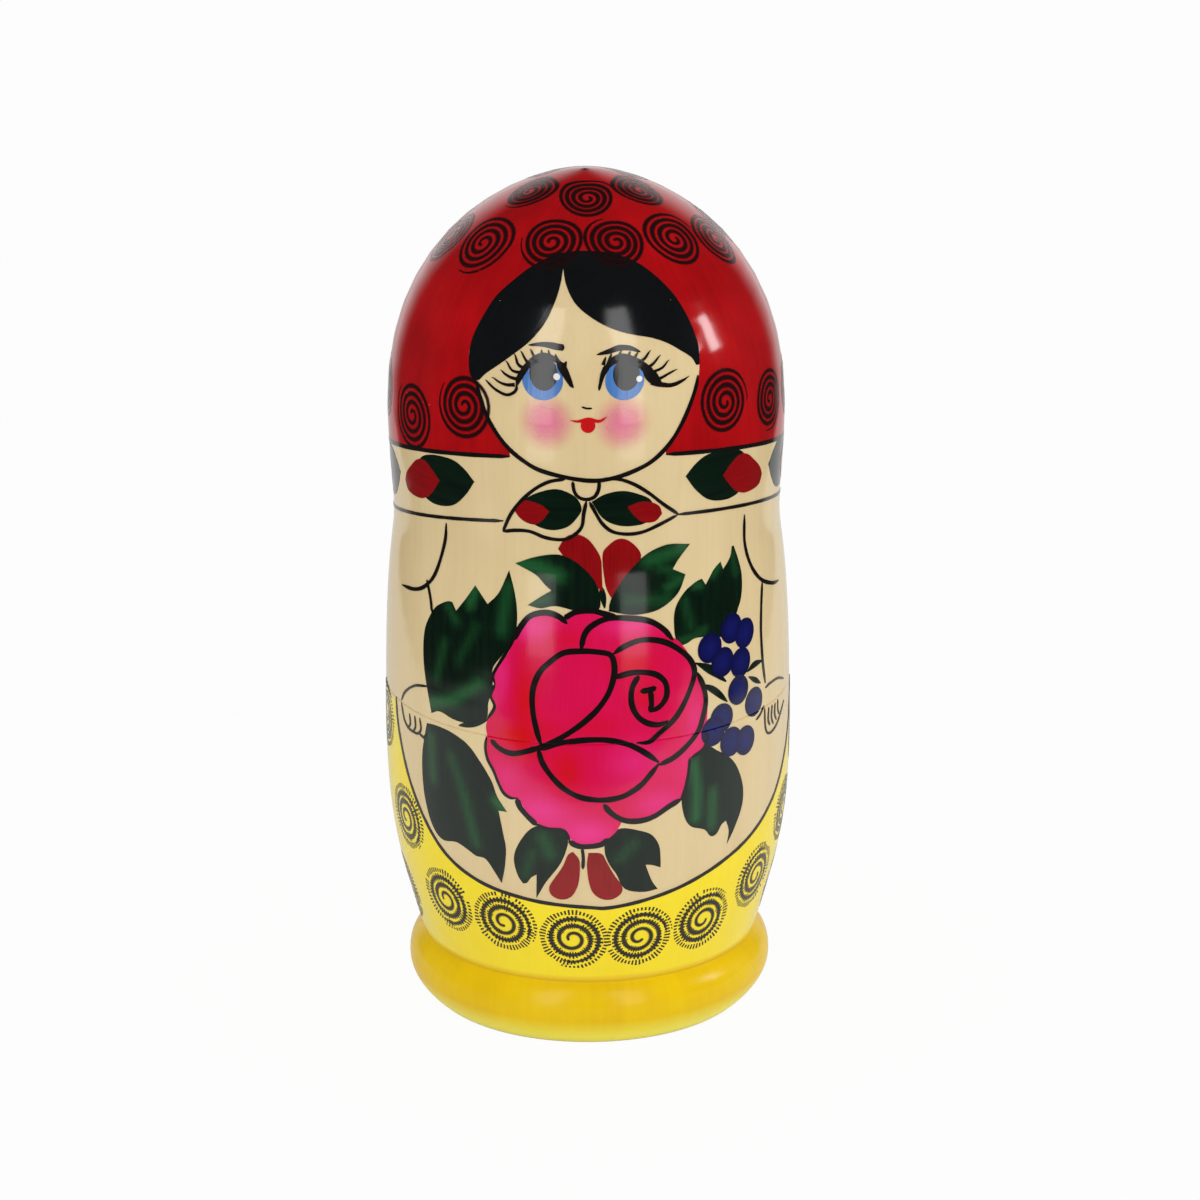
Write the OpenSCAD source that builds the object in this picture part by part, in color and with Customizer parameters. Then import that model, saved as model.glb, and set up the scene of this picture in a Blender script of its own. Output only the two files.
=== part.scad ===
// A set of turned wooden nesting dolls, closed one inside the next.
// Every hollow doll is a lower half with a raised lip and an upper half that fits over that lip.
// The innermost doll is one solid piece.

/* [Base] */
// Largest diameter of the bead round the base
bead_d = 71.6; // [66:0.2:78]
// Height of the bead's widest line above the table
bead_mid_h = 7.5; // [6:0.1:9]
// How far the edge of the flat foot is turned in from the bead
foot_in = 4.7; // [2:0.1:8]
// Height of the crease where the skirt meets the bead
crease_h = 13.5; // [12:0.1:16]
// How far the crease is turned in from the bead
crease_in = 2.8; // [1.5:0.1:4]

/* [Body] */
// Largest diameter of the body, at the belly
belly_d = 79.8; // [76:0.2:84]
// Rise from the crease to the belly
belly_rise = 44.5; // [38:0.5:52]
// Widening of the skirt just above the crease, in mm of radius per mm of height
skirt_flare = 0.28; // [0.15:0.01:0.35]
// How far the neck is turned in from the belly
neck_in = 2.1; // [1:0.1:4]
// Rise from the belly to the neck
neck_rise = 43; // [38:0.5:50]

/* [Head] */
// How far the head stands out from the neck
head_out = 0.9; // [0.4:0.1:2]
// Rise from the neck to the widest line of the head
head_rise = 22; // [18:0.5:28]
// Rise from the widest line of the head to the top of the crown
crown_rise = 47; // [42:0.5:54]
// How far the crown's tip stands above a rounded top
crown_tip = 2; // [0.5:0.1:3]

/* [Seam] */
// Rise from the crease to the seam between the two halves
seam_rise = 52.6; // [46:0.2:60]
// Height of the lower half's lip above the seam
lip_h = 9; // [6:0.5:12]
// Thickness of the lip
lip_t = 2.5; // [1.8:0.1:3]
// Thickness of the upper half's rim, which closes round the lip
rim_t = 2.4; // [1.8:0.1:3]
// Radial clearance between the lip and the rim
lip_gap = 0.08; // [0.04:0.01:0.1]
// Clearance between the top of the lip and the bottom of its socket
lip_end_gap = 0.4; // [0.2:0.1:1]
// Chamfer on both edges of the seam
seam_chamfer = 0.2; // [0.1:0.05:0.6]

/* [Hollow] */
// Thickness of the floor inside the lower half
floor_t = 12; // [9:0.5:15]
// Least thickness of the wall at the crease
foot_wall = 3; // [2:0.1:3.4]
// Radius of the corner between that floor and the wall
floor_fillet = 3; // [1:0.5:4]
// Thickness of the wall at the neck
neck_wall = 4.2; // [3:0.1:5]
// Thickness of the crown above the hollow
crown_t = 11; // [8:0.5:14]

/* [Nest] */
// Number of dolls in the set, the solid one included
doll_count = 7; // [3:1:7]
// Radial gap between a doll and the narrowest places of the halves that hold it
side_gap = 2.6; // [1.5:0.1:3.5]
// Radial gap between a doll's bead and the well that it stands in
foot_gap = 0.8; // [0.4:0.1:1.5]
// Clearance between a doll's foot and the floor under it
stand_gap = 0.02; // [0.01:0.01:0.1]
// Least gap between a doll's crown and the hollow above it
crown_gap = 8; // [4:0.5:12]

/* [Hidden] */
// Steps along each curve of the turned outline
curve_steps = 14;
// Roundness of the bead below and above its widest line
bead_power_low = 2;
bead_power_high = 2.6;
// Lengths of the curve handles, as shares of the rise that each curve spans
skirt_handles = [0.36, 0.5];
shoulder_handles = [0.78, 0.12];
cheek_handles = [0.35, 0.42];
crown_handle = 0.74;
// Reach of the crown's upper handle, as a share of the head's radius
crown_reach = 0.33;

bead_r = bead_d / 2;
crease_r = bead_r - crease_in;
belly_r = belly_d / 2;
neck_r = belly_r - neck_in;
head_r = neck_r + head_out;
belly_h = crease_h + belly_rise;
neck_h = belly_h + neck_rise;
head_h = neck_h + head_rise;
doll_h = head_h + crown_rise;
seam_h = crease_h + seam_rise;

// Points of a cubic curve from a to d after its first point
function curve(a, b, c, d) =
    [for (i = [1:curve_steps]) let (t = i / curve_steps, u = 1 - t)
        u * u * u * a + 3 * u * u * t * b + 3 * u * t * t * c + t * t * t * d];

// Radius of the bead at a height, from its widest line towards an end that is turned in
function round_r(z, turned_in, span, power) = bead_r - turned_in * pow(abs(z - bead_mid_h) / span, power);

// The outside of a doll as [radius, height] points, from the foot to the tip of the crown
bead_low = [for (i = [0:curve_steps]) let (z = bead_mid_h * i / curve_steps)
    [round_r(z, foot_in, bead_mid_h, bead_power_low), z]];
bead_rise = crease_h - bead_mid_h;
bead_high = [for (i = [1:curve_steps]) let (z = bead_mid_h + bead_rise * i / curve_steps)
    [round_r(z, crease_in, bead_rise, bead_power_high), z]];
crease = [crease_r, crease_h];
belly = [belly_r, belly_h];
neck = [neck_r, neck_h];
head = [head_r, head_h];
tip = [0, doll_h];
skirt_curve = curve(crease, crease + skirt_handles[0] * belly_rise * [skirt_flare, 1],
    belly - [0, skirt_handles[1] * belly_rise], belly);
shoulder_curve = curve(belly, belly + [0, shoulder_handles[0] * neck_rise],
    neck - [0, shoulder_handles[1] * neck_rise], neck);
cheek_curve = curve(neck, neck + [0, cheek_handles[0] * head_rise],
    head - [0, cheek_handles[1] * head_rise], head);
crown_curve = curve(head, head + [0, crown_handle * crown_rise],
    [crown_reach * head_r, doll_h - crown_tip], tip);
outline = concat(bead_low, bead_high, skirt_curve, shoulder_curve, cheek_curve, crown_curve);

// Radius of the outside at a height
heights_and_radii = [for (p = outline) [p[1], p[0]]];
function outside_r(z) = lookup(z, heights_and_radii);

// The seam, its lip and the narrow places that the next doll has to pass
seam_r = outside_r(seam_h);
lip_r = seam_r - rim_t - lip_gap;
socket_r = seam_r - rim_t;
mouth_r = lip_r - lip_t;
neck_bore_r = neck_r - neck_wall;
ceiling_h = doll_h - crown_t;

// Size of each doll against the one that holds it, by the tightest of four fits
mouth_fit = (mouth_r - side_gap) / max(belly_r, bead_r, head_r);
neck_fit = (neck_bore_r - side_gap) / head_r;
crown_fit = (ceiling_h - crown_gap - stand_gap - floor_t) / doll_h;
foot_fit = (crease_r - foot_wall - foot_gap) / bead_r;
nest = min(mouth_fit, neck_fit, crown_fit, foot_fit);
well_r = nest * bead_r + foot_gap;
well_h = floor_t + nest * crease_h;

// Size of doll k against the outermost doll, and the height at which it stands
function doll_size(k) = pow(nest, k);
function stand_h(k) = k == 0 ? 0 : stand_h(k - 1) + (floor_t + stand_gap) * doll_size(k - 1);

// Places one doll's piece at its own size, standing in the doll that holds it
module in_nest(k) {
    translate([0, 0, stand_h(k)])
        scale(doll_size(k))
            children();
}

// The lower half: base, skirt and belly with a hollow for the next doll and a lip at the top
module lower_half() {
    edge_h = seam_h - seam_chamfer;
    outside = [for (p = outline) if (p[1] < edge_h) p];
    edge = [[outside_r(edge_h), edge_h], [seam_r - seam_chamfer, seam_h]];
    lip = [[lip_r, seam_h], [lip_r, seam_h + lip_h - seam_chamfer],
        [lip_r - seam_chamfer, seam_h + lip_h], [mouth_r + seam_chamfer, seam_h + lip_h],
        [mouth_r, seam_h + lip_h - seam_chamfer]];
    mouth_foot = [mouth_r, belly_h - skirt_handles[1] * belly_rise / 2];
    well_top = [well_r, well_h];
    wall = curve(mouth_foot, mouth_foot - [0, (mouth_foot[1] - well_h) / 3],
        well_top + [0, (mouth_foot[1] - well_h) / 3], well_top);
    corner = [for (i = [0:curve_steps]) let (a = 90 * i / curve_steps)
        [well_r - floor_fillet + floor_fillet * cos(a), floor_t + floor_fillet - floor_fillet * sin(a)]];
    rotate_extrude($fn = 96)
        polygon(concat([[0, 0]], outside, edge, lip, [mouth_foot], wall, corner, [[0, floor_t]]));
}

// The upper half: shoulders and head with a socket for the lip and a hollow up into the crown
module upper_half() {
    edge_h = seam_h + seam_chamfer;
    edge = [[socket_r, seam_h], [seam_r - seam_chamfer, seam_h], [outside_r(edge_h), edge_h]];
    outside = [for (p = outline) if (p[1] > edge_h) p];
    dome_h = ceiling_h - head_h;
    dome = [for (i = [0:curve_steps]) let (a = 90 - 90 * i / curve_steps)
        [neck_bore_r * cos(a), head_h + dome_h * sin(a)]];
    socket_h = seam_h + lip_h + lip_end_gap;
    bore = [[neck_bore_r, neck_h], [mouth_r, socket_h], [socket_r, socket_h]];
    rotate_extrude($fn = 96)
        polygon(concat(edge, outside, dome, bore));
}

// The innermost doll, turned from one piece
module solid_doll() {
    rotate_extrude($fn = 96)
        polygon(concat([[0, 0]], outline));
}

function bottom_name(k) = str("doll_", k + 1, "_bottom");
function top_name(k) = str("doll_", k + 1, "_top");
function solid_name() = str("doll_", doll_count, "_solid");

hollow_dolls = [0:doll_count - 2];
bottom_names = [for (k = hollow_dolls) bottom_name(k)];
top_names = [for (k = hollow_dolls) top_name(k)];

for (k = hollow_dolls) {
    color("gold") in_nest(k) lower_half();
    color("firebrick") in_nest(k) upper_half();
}
color("firebrick") in_nest(doll_count - 1) solid_doll();
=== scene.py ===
import bisect
import math
import random

import bmesh
import bpy
from mathutils import Matrix, Vector


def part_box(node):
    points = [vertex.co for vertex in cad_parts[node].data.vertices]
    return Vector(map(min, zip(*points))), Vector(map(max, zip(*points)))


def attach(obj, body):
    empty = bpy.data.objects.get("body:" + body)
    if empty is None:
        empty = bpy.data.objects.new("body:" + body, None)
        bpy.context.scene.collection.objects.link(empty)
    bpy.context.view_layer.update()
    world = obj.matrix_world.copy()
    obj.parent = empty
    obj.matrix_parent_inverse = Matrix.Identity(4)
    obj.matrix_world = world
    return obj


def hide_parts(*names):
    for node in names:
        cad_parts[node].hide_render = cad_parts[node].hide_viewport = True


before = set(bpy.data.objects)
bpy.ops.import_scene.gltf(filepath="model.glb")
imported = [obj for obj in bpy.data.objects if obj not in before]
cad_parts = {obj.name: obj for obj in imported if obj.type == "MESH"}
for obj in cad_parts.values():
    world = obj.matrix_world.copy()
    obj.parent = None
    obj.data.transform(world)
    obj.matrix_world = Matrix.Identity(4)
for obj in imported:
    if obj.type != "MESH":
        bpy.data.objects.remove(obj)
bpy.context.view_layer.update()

# Turned halves. Each doll is turned from dry linden in two halves, a lower one with a lip and an upper one
# that closes round it; the smallest is one solid piece. The outside is sanded and lacquered over the paint,
# the hollow is left bare with the rings of the turning tool.
MM = 0.001
SEAM_WORDS = ("bottom", "top")
SPIN_STEPS = 112


def srgb(red, green, blue):
    """A colour read off, 0 to 255, as the linear values that a shader takes."""
    linear = [c / 255 / 12.92 if c < 11 else ((c / 255 + 0.055) / 1.055) ** 2.4 for c in (red, green, blue)]
    return (*linear, 1.0)


class Shade:
    """A value in a finish. Arithmetic on it adds Math nodes to that finish."""

    def __init__(self, finish, socket):
        self.finish, self.socket = finish, socket

    def math(self, operation, first, second):
        return self.finish.node("Math", {"operation": operation}, {0: first, 1: second})

    def __add__(self, other):
        return self.math("ADD", self, other)

    def __mul__(self, other):
        return self.math("MULTIPLY", self, other)

    __radd__, __rmul__ = __add__, __mul__


class Finish:
    """A wood or paint finish: its material, its shader and the nodes that vary it."""

    def __init__(self, name, sockets):
        self.material = bpy.data.materials.new(name)
        self.material.use_nodes = True
        self.tree = self.material.node_tree
        self.shader = self.tree.nodes["Principled BSDF"]
        self.give(self.shader, sockets)

    def give(self, node, sockets):
        for socket, value in sockets.items():
            if isinstance(value, Shade):
                self.tree.links.new(value.socket, node.inputs[socket])
            else:
                node.inputs[socket].default_value = value

    def node(self, kind, settings, sockets, out=0):
        made = self.tree.nodes.new("ShaderNode" + kind)
        for name, value in settings.items():
            if name == "stops":
                for stop, (place, shade) in zip(made.color_ramp.elements, value):
                    stop.position, stop.color = place, (shade, shade, shade, 1)
            else:
                setattr(made, name, value)
        self.give(made, sockets)
        return Shade(self, made.outputs[out])

    def blend(self, share, first, second):
        return self.node("Mix", {"data_type": "RGBA"}, {0: share, 6: first, 7: second}, 2)

    def noise(self, where, stretch, detail):
        """Noise over a chart or the piece itself, with as many waves to the unit as stretch says."""
        place = self.node("Mapping", {}, {"Vector": where, "Scale": stretch})
        return self.node("TexNoise", {}, {"Vector": place, "Scale": 1.0, "Detail": detail})

    def ramp(self, value, low, high):
        """The value spread so that low becomes 0 and high becomes 1."""
        return self.node("ValToRGB", {"stops": ((low, 0), (high, 1))}, {0: value})

    def bump(self, height, depth):
        return self.node("Bump", {}, {"Height": height, "Strength": 1.0, "Distance": depth})


FIBRE_WAVES, RING_WAVES, TOOL_WAVES = (1500, 1500, 26), (130, 130, 6), (160, 160, 2600)
TOOL_DEPTH = 0.0002


def linden(name, pale, dark, sockets):
    """Linden with its fine grain along the turning axis and a slow change from tree ring to tree ring."""
    wood = Finish(name, sockets)
    place = wood.node("TexCoord", {}, {}, 3)
    fibre = wood.ramp(wood.noise(place, FIBRE_WAVES, 4), 0.36, 0.72)
    rings = wood.ramp(wood.noise(place, RING_WAVES, 2), 0.35, 0.7)
    shade = fibre * 0.15 + rings * 0.35
    return wood, place, fibre, wood.blend(shade, srgb(*pale), srgb(*dark))


LACQUER = {"Roughness": 0.12, "IOR": 1.5, "Specular IOR Level": 0.5}
LACQUER_RIPPLE = (70, 70, 45)
RIPPLE_DEPTH = 0.00012
lacquered, place, fibre, colour = linden("lacquered_linden", (229, 206, 158), (212, 184, 134), LACQUER)
ripple = lacquered.noise(place, LACQUER_RIPPLE, 1)
lacquered.give(lacquered.shader, {"Base Color": colour, "Normal": lacquered.bump(ripple, RIPPLE_DEPTH)})

bare, place, fibre, colour = linden("bare_linden", (222, 196, 150), (196, 164, 116), {"Specular IOR Level": 0.3})
rings = bare.noise(place, TOOL_WAVES, 1)
bare.give(bare.shader, {"Base Color": colour, "Roughness": 0.62 + fibre * 0.2,
                        "Normal": bare.bump(rings * 0.6 + fibre * 0.4, TOOL_DEPTH)})


def flowing(points, closed=False, step=0.7, corner=60):
    """A smooth path through given points, with a corner wherever they turn by more than corner degrees."""
    points = [Vector(p) for p in points]
    count = len(points)

    def turns(i):
        before, after = points[i] - points[i - 1], points[(i + 1) % count] - points[i]
        return math.degrees(before.angle(after, 0)) > corner

    spans = count if closed else count - 1
    sharp = [turns(i) if closed or 0 < i < count - 1 else True for i in range(count)]
    path = []
    for i in range(spans):
        here, there = points[i], points[(i + 1) % count]
        before = 2 * here - there if sharp[i] else points[i - 1]
        after = 2 * there - here if sharp[(i + 1) % count] else points[(i + 2) % count]
        parts = max(1, math.ceil((there - here).length / step))
        for part in range(parts):
            t = part / parts
            path.append(0.5 * (2 * here + (there - before) * t
                               + (2 * before - 5 * here + 4 * there - after) * t * t
                               + (3 * here - 3 * there + after - before) * t * t * t))
    return path if closed else path + [points[-1]]


def cut_across(bm, place, across, **kept):
    bmesh.ops.bisect_plane(bm, geom=bm.verts[:] + bm.edges[:] + bm.faces[:], plane_co=place, plane_no=across, **kept)


def turned_section(node):
    """Half section of a turned node as (radius, height) in mm, walked from its outer end on the axis."""
    cut = bmesh.new()
    cut.from_mesh(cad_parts[node].data)
    bmesh.ops.remove_doubles(cut, verts=cut.verts[:], dist=1e-7)
    for across, clear_far in (((0.6, 0.8, 0), True), ((0.8, -0.6, 0), False)):
        cut_across(cut, (0, 0, 0), across, dist=1e-8, clear_inner=True, clear_outer=clear_far)
    ends = sorted((v for v in cut.verts if len(v.link_edges) == 1), key=lambda v: v.co.z)
    vert, edge, points = ends[-1] if node.endswith("top") else ends[0], None, []
    while vert:
        points.append(Vector((vert.co.xy.length, vert.co.z)) / MM)
        edge = next((e for e in vert.link_edges if e is not edge), None)
        vert = edge.other_vert(vert) if edge else None
    cut.free()
    kept = [points[0]]
    for point, after in zip(points[1:], points[2:]):
        chord = after - kept[-1]
        if (point - kept[-1]).length > 0.02 and abs(chord.cross(point - kept[-1])) > 0.0015 * chord.length:
            kept.append(point)
    return flowing(kept + [points[-1]], step=2.0, corner=20)


def put(name, data):
    thing = bpy.data.objects.new(name, data)
    bpy.context.collection.objects.link(thing)
    return thing


SHARP_EDGE = math.radians(35)


def film_from(bm, name, finishes, body):
    """Makes a finished mesh the piece of that name, riding on a body."""
    mesh = bpy.data.meshes.new(name)
    bm.to_mesh(mesh)
    bm.free()
    for finish in finishes:
        mesh.materials.append(finish.material)
    mesh.shade_smooth()
    mesh.set_sharp_from_angle(angle=SHARP_EDGE)
    piece = put(name, mesh)
    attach(piece, body)
    return piece


def turn_wood(node, outside, inside):
    """Spins the outer and inner chains of a section into one closed turned piece."""
    turned = bmesh.new()
    for index, chain in enumerate((outside, inside)):
        first = len(turned.faces)
        verts = [turned.verts.new((point.x * MM, 0, point.y * MM)) for point in chain]
        edges = [turned.edges.new(pair) for pair in zip(verts, verts[1:])]
        bmesh.ops.spin(turned, geom=verts + edges, cent=(0, 0, 0), axis=(0, 0, 1), dvec=(0, 0, 0),
                       angle=math.tau, steps=SPIN_STEPS, use_merge=True)
        turned.faces.ensure_lookup_table()
        for face in turned.faces[first:]:
            face.material_index = index
    bmesh.ops.remove_doubles(turned, verts=turned.verts[:], dist=2e-6)
    bmesh.ops.recalc_face_normals(turned, faces=turned.faces[:])
    piece = film_from(turned, node + "_wood", (lacquered, bare), node)
    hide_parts(node)


HEAD_LINE = 123.0


class Outside:
    """The turned outside of one doll, by height up to the head and along the surface above it.

    Heights are those of the outer doll, whatever the doll's own size."""

    def __init__(self, points, size, stand):
        self.size, self.stand = size, stand
        points = [Vector((p.x, p.y - stand)) / size for p in points]
        self.heights = []
        for before, point in zip([points[0]] + points, points):
            up = (point - before).length if point.y > HEAD_LINE + 0.01 else point.y
            self.heights.append(self.heights[-1] + up if point.y > HEAD_LINE + 0.01 else up)
        spans = [(b - a).normalized() for a, b in zip(points, points[1:])]
        leans = [(a + b).normalized() for a, b in zip(spans[:1] + spans, spans + spans[-1:])]
        self.rows = [(p.x, p.y, lean.y, -lean.x) for p, lean in zip(points, leans)]

    def at(self, height):
        after = min(max(bisect.bisect_right(self.heights, height), 1), len(self.rows) - 1)
        low, high = self.heights[after - 1], self.heights[after]
        share = min(max((height - low) / (high - low), 0), 1)
        return [a + (b - a) * share for a, b in zip(self.rows[after - 1], self.rows[after])]

    def radius(self, height):
        return max(self.at(height)[0], 0.01)

    def place(self, angle, height, lift):
        """The point in metres at an angle from the front, a height and a lift off the wood."""
        radius, level, out, up = self.at(height)
        if abs(height - SEAM) < 0.01:
            out, up = 1, 0
        reach = (radius + out * lift) * self.size * MM
        return Vector((reach * math.sin(angle), -reach * math.cos(angle),
                       ((level + up * lift) * self.size + self.stand) * MM))


DOLLS = sorted({int(node.split("_")[1]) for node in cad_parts})
SOLID = "doll_%d_solid" % DOLLS[-1]
SEAM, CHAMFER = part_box("doll_1_top")[0].z / MM, 0.2
low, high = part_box("doll_1_bottom")
width_of_outer = (high - low).x
outsides = {}
for doll in DOLLS[:-1]:
    lower, upper = ("doll_%d_%s" % (doll, word) for word in SEAM_WORDS)
    low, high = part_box(lower)
    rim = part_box(upper)[0].z / MM
    chains = {}
    for node, slot in ((lower, "lower_half"), (upper, "upper_half")):
        section = turned_section(node)
        edge = next(i for i, p in enumerate(section) if abs(p.y - rim) < 0.005)
        chains[node] = section[:edge + 1]
        turn_wood(node, section[:edge + 1], section[edge:])
    skin = [p for p in chains[lower] if p.y > low.z / MM + 0.001 or p.x > chains[lower][0].x + 1]
    foot = max(i for i, p in enumerate(skin) if p.y < low.z / MM + 0.001)
    outsides[doll] = Outside(skin[foot:-1] + chains[upper][::-1], (high - low).x / width_of_outer, low.z / MM)

low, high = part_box(SOLID)
section = turned_section(SOLID)
turn_wood(SOLID, section, [])
foot = max(i for i, p in enumerate(section) if p.y < low.z / MM + 0.001)
outsides[DOLLS[-1]] = Outside(section[foot:], (high - low).x / width_of_outer, low.z / MM)
outer = outsides[1]

# Kerchief. Red dye is brushed over the head from the face round to the back and down to a hem, which is
# drawn in black; rows of black spirals are drawn over the red with a fine brush.
UNDER = -0.02
GROUND, SECOND, LINE, TOP = 0.05, 0.08, 0.11, 0.14
BELT = 38.7
CROWN = outer.heights[-1]
TICK_LENGTHS, TICKS_LOST = (0.82, 1.12), 0.02
rng = random.Random(7)


class Painting:
    """The brushwork of one motif: drawn flat on a chart of the surface, then laid on each doll as thin films."""

    def __init__(self, name):
        self.name, self.finishes = name, []
        self.charts = {word: self.sheet() for word in SEAM_WORDS}

    @staticmethod
    def sheet():
        flat = bmesh.new()
        flat.loops.layers.uv.new("brush")
        flat.verts.layers.float.new("wash")
        flat.verts.layers.int.new("smallest")
        return flat

    @staticmethod
    def pour(part, whole):
        """Moves all of one sheet into another."""
        mesh = bpy.data.meshes.new("film")
        part.to_mesh(mesh)
        part.free()
        whole.from_mesh(mesh)
        bpy.data.meshes.remove(mesh)

    def dry(self, flat, finish, lift, at, belt, wash, smallest):
        """Parts a flat shape at the seam, gives it its thickness and adds it to the chart."""
        if finish not in self.finishes:
            self.finishes.append(finish)
        lowest, highest = min(v.co.y for v in flat.verts), max(v.co.y for v in flat.verts)
        shift = at[0] / outer.radius(at[1])
        for word in SEAM_WORDS:
            if (lowest >= SEAM - 0.05 and word == "bottom") or (highest <= SEAM + 0.05 and word == "top"):
                continue
            part = flat.copy()
            if lowest < SEAM < highest:
                for level, clears in ((SEAM - CHAMFER, False), (SEAM + CHAMFER, False), (SEAM, True)):
                    cut_across(part, (0, level, 0), (0, 1, 0), clear_outer=clears and word == "bottom",
                               clear_inner=clears and word == "top")
            if not part.faces:
                part.free()
                continue
            washes, sizes = part.verts.layers.float["wash"], part.verts.layers.int["smallest"]
            for vert in part.verts:
                if wash:
                    vert[washes] = wash(vert.co.x, vert.co.y)
                vert[sizes] = smallest
            bmesh.ops.recalc_face_normals(part, faces=part.faces[:])
            bmesh.ops.solidify(part, geom=part.faces[:], thickness=0.5)
            mean = sum(v.co.z for v in part.verts) / len(part.verts)
            for vert in part.verts:
                angle = shift + vert.co.x / (BELT if belt else outer.radius(vert.co.y))
                vert.co = (angle, vert.co.y, lift if vert.co.z > mean else UNDER)
            bmesh.ops.recalc_face_normals(part, faces=part.faces[:])
            joins = [f for f in part.faces if all(abs(abs(v.co.x) - math.pi) < 1e-5 for v in f.verts)]
            bmesh.ops.delete(part, geom=joins, context="FACES_ONLY")
            for face in part.faces:
                face.material_index = self.finishes.index(finish)
            self.pour(part, self.charts[word])
        flat.free()

    def fill(self, finish, edge, lift, at=(0, 0), belt=False, grid=2.0, wash=None, smallest=9, brush=90):
        """A filled shape inside a closed edge, cut into cells small enough to follow the wood."""
        cells = grid if isinstance(grid, tuple) else (grid, grid)
        flat = self.sheet()
        verts = [flat.verts.new((x, at[1] + y, 0)) for x, y in edge]
        for pair in zip(verts, verts[1:] + verts[:1]):
            flat.edges.new(pair)
        bmesh.ops.triangle_fill(flat, edges=flat.edges[:], use_beauty=True, use_dissolve=False, normal=(0, 0, 1))
        for axis, size in enumerate(cells):
            across = Vector((axis == 0, axis == 1, 0))
            ends = [v.co[axis] for v in flat.verts]
            for cell in range(math.ceil(min(ends) / size), math.floor(max(ends) / size) + 1):
                cut_across(flat, across * cell * size, across)
        bmesh.ops.remove_doubles(flat, verts=flat.verts[:], dist=1e-4)

        def ruled(edge):
            a, b = (vert.co for vert in edge.verts)
            return any(abs(a[axis] - b[axis]) < 1e-4 and abs(a[axis] - round(a[axis] / size) * size) < 1e-3
                       for axis, size in enumerate(cells))

        inner = [e for e in flat.edges if len(e.link_faces) == 2 and not ruled(e)]
        bmesh.ops.dissolve_edges(flat, edges=inner, use_verts=False)
        bmesh.ops.dissolve_verts(flat, verts=[v for v in flat.verts if len(v.link_edges) == 2 and not v.is_boundary])
        chart, turn = flat.loops.layers.uv["brush"], math.radians(brush)
        for face in flat.faces:
            for loop in face.loops:
                x, y = loop.vert.co.xy
                loop[chart].uv = ((x * math.cos(turn) + y * math.sin(turn)) / 10,
                                  (y * math.cos(turn) - x * math.sin(turn)) / 10)
        self.dry(flat, finish, lift, at, belt, wash, smallest)

    def stroke(self, finish, points, width, lift, at=(0, 0), belt=False, taper=(0.12, 0.12), tip=0.3,
               smallest=9, step=0.7, wobble=0.06, soft=False, comb=False):
        """One pull of the brush along a path: a strip whose width follows the pressure.

        A soft one is thin at its edges, a combed one is left only in short ticks across the path."""
        path = flowing(points, step=step) if len(points) < 60 else [Vector(p) for p in points]
        run = len(path) - 1
        widths = width if isinstance(width, (list, tuple)) else (width, width)
        flat = self.sheet()
        bmesh.ops.create_grid(flat, x_segments=run, y_segments=2 if soft else 1, size=1)
        phase, turns = rng.uniform(0, 6), rng.uniform(0.5, 1.1) * run * step
        washes, sides, steps = flat.verts.layers.float["wash"], {}, {}
        ticks = [rng.uniform(*TICK_LENGTHS) if comb else 1.0 for i in range(run + 1)]
        for vert in flat.verts:
            i = steps[vert.index] = round((vert.co.x + 1) / 2 * run)
            vert[washes] = 1 - abs(vert.co.y)
            share = i / run
            along = (path[min(i + 1, run)] - path[max(i - 1, 0)]).normalized()
            place = share * (len(widths) - 1)
            first = min(int(place), len(widths) - 2)
            broad = widths[first] + (widths[first + 1] - widths[first]) * (place - first)
            press = min(1, share / taper[0] if taper[0] else 1, (1 - share) / taper[1] if taper[1] else 1)
            pressed = tip + (1 - tip) * math.sin(press * math.pi / 2)
            broad *= pressed * (1 + wobble * math.sin(phase + turns * share))
            reach = broad / 2 * vert.co.y * ticks[i // 2]
            sides[vert.index] = (share * run * step / 10, reach / 10)
            vert.co = (path[i].x - along.y * reach, at[1] + path[i].y + along.x * reach, 0)
        chart = flat.loops.layers.uv["brush"]
        for face in flat.faces:
            for loop in face.loops:
                loop[chart].uv = sides[loop.vert.index]
        if comb:
            gaps = [f for f in flat.faces if min(steps[v.index] for v in f.verts) % 2 or rng.random() < TICKS_LOST]
            bmesh.ops.delete(flat, geom=gaps, context="FACES")
        self.dry(flat, finish, lift, at, belt, None, smallest)

    def lay(self):
        """Wraps the chart round every doll and makes one piece for each half that it touches."""
        for doll in DOLLS:
            outside = outsides[doll]
            films = [(word, chart.copy()) for word, chart in self.charts.items()]
            if doll == DOLLS[-1]:
                whole = self.sheet()
                for word, film in films:
                    self.pour(film, whole)
                films = [("solid", whole)]
            for word, film in films:
                sizes = film.verts.layers.int["smallest"]
                small = [v for v in film.verts if v[sizes] < doll]
                bmesh.ops.delete(film, geom=small, context="VERTS")
                if not film.faces:
                    film.free()
                    continue
                for vert in film.verts:
                    vert.co = outside.place(*vert.co)
                bmesh.ops.remove_doubles(film, verts=film.verts[:], dist=2e-7)
                body = "doll_%d_%s" % (doll, word)
                film_from(film, body + "_" + self.name, self.finishes, body)


DYE_POOLS = (110, 110, 80)


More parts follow.
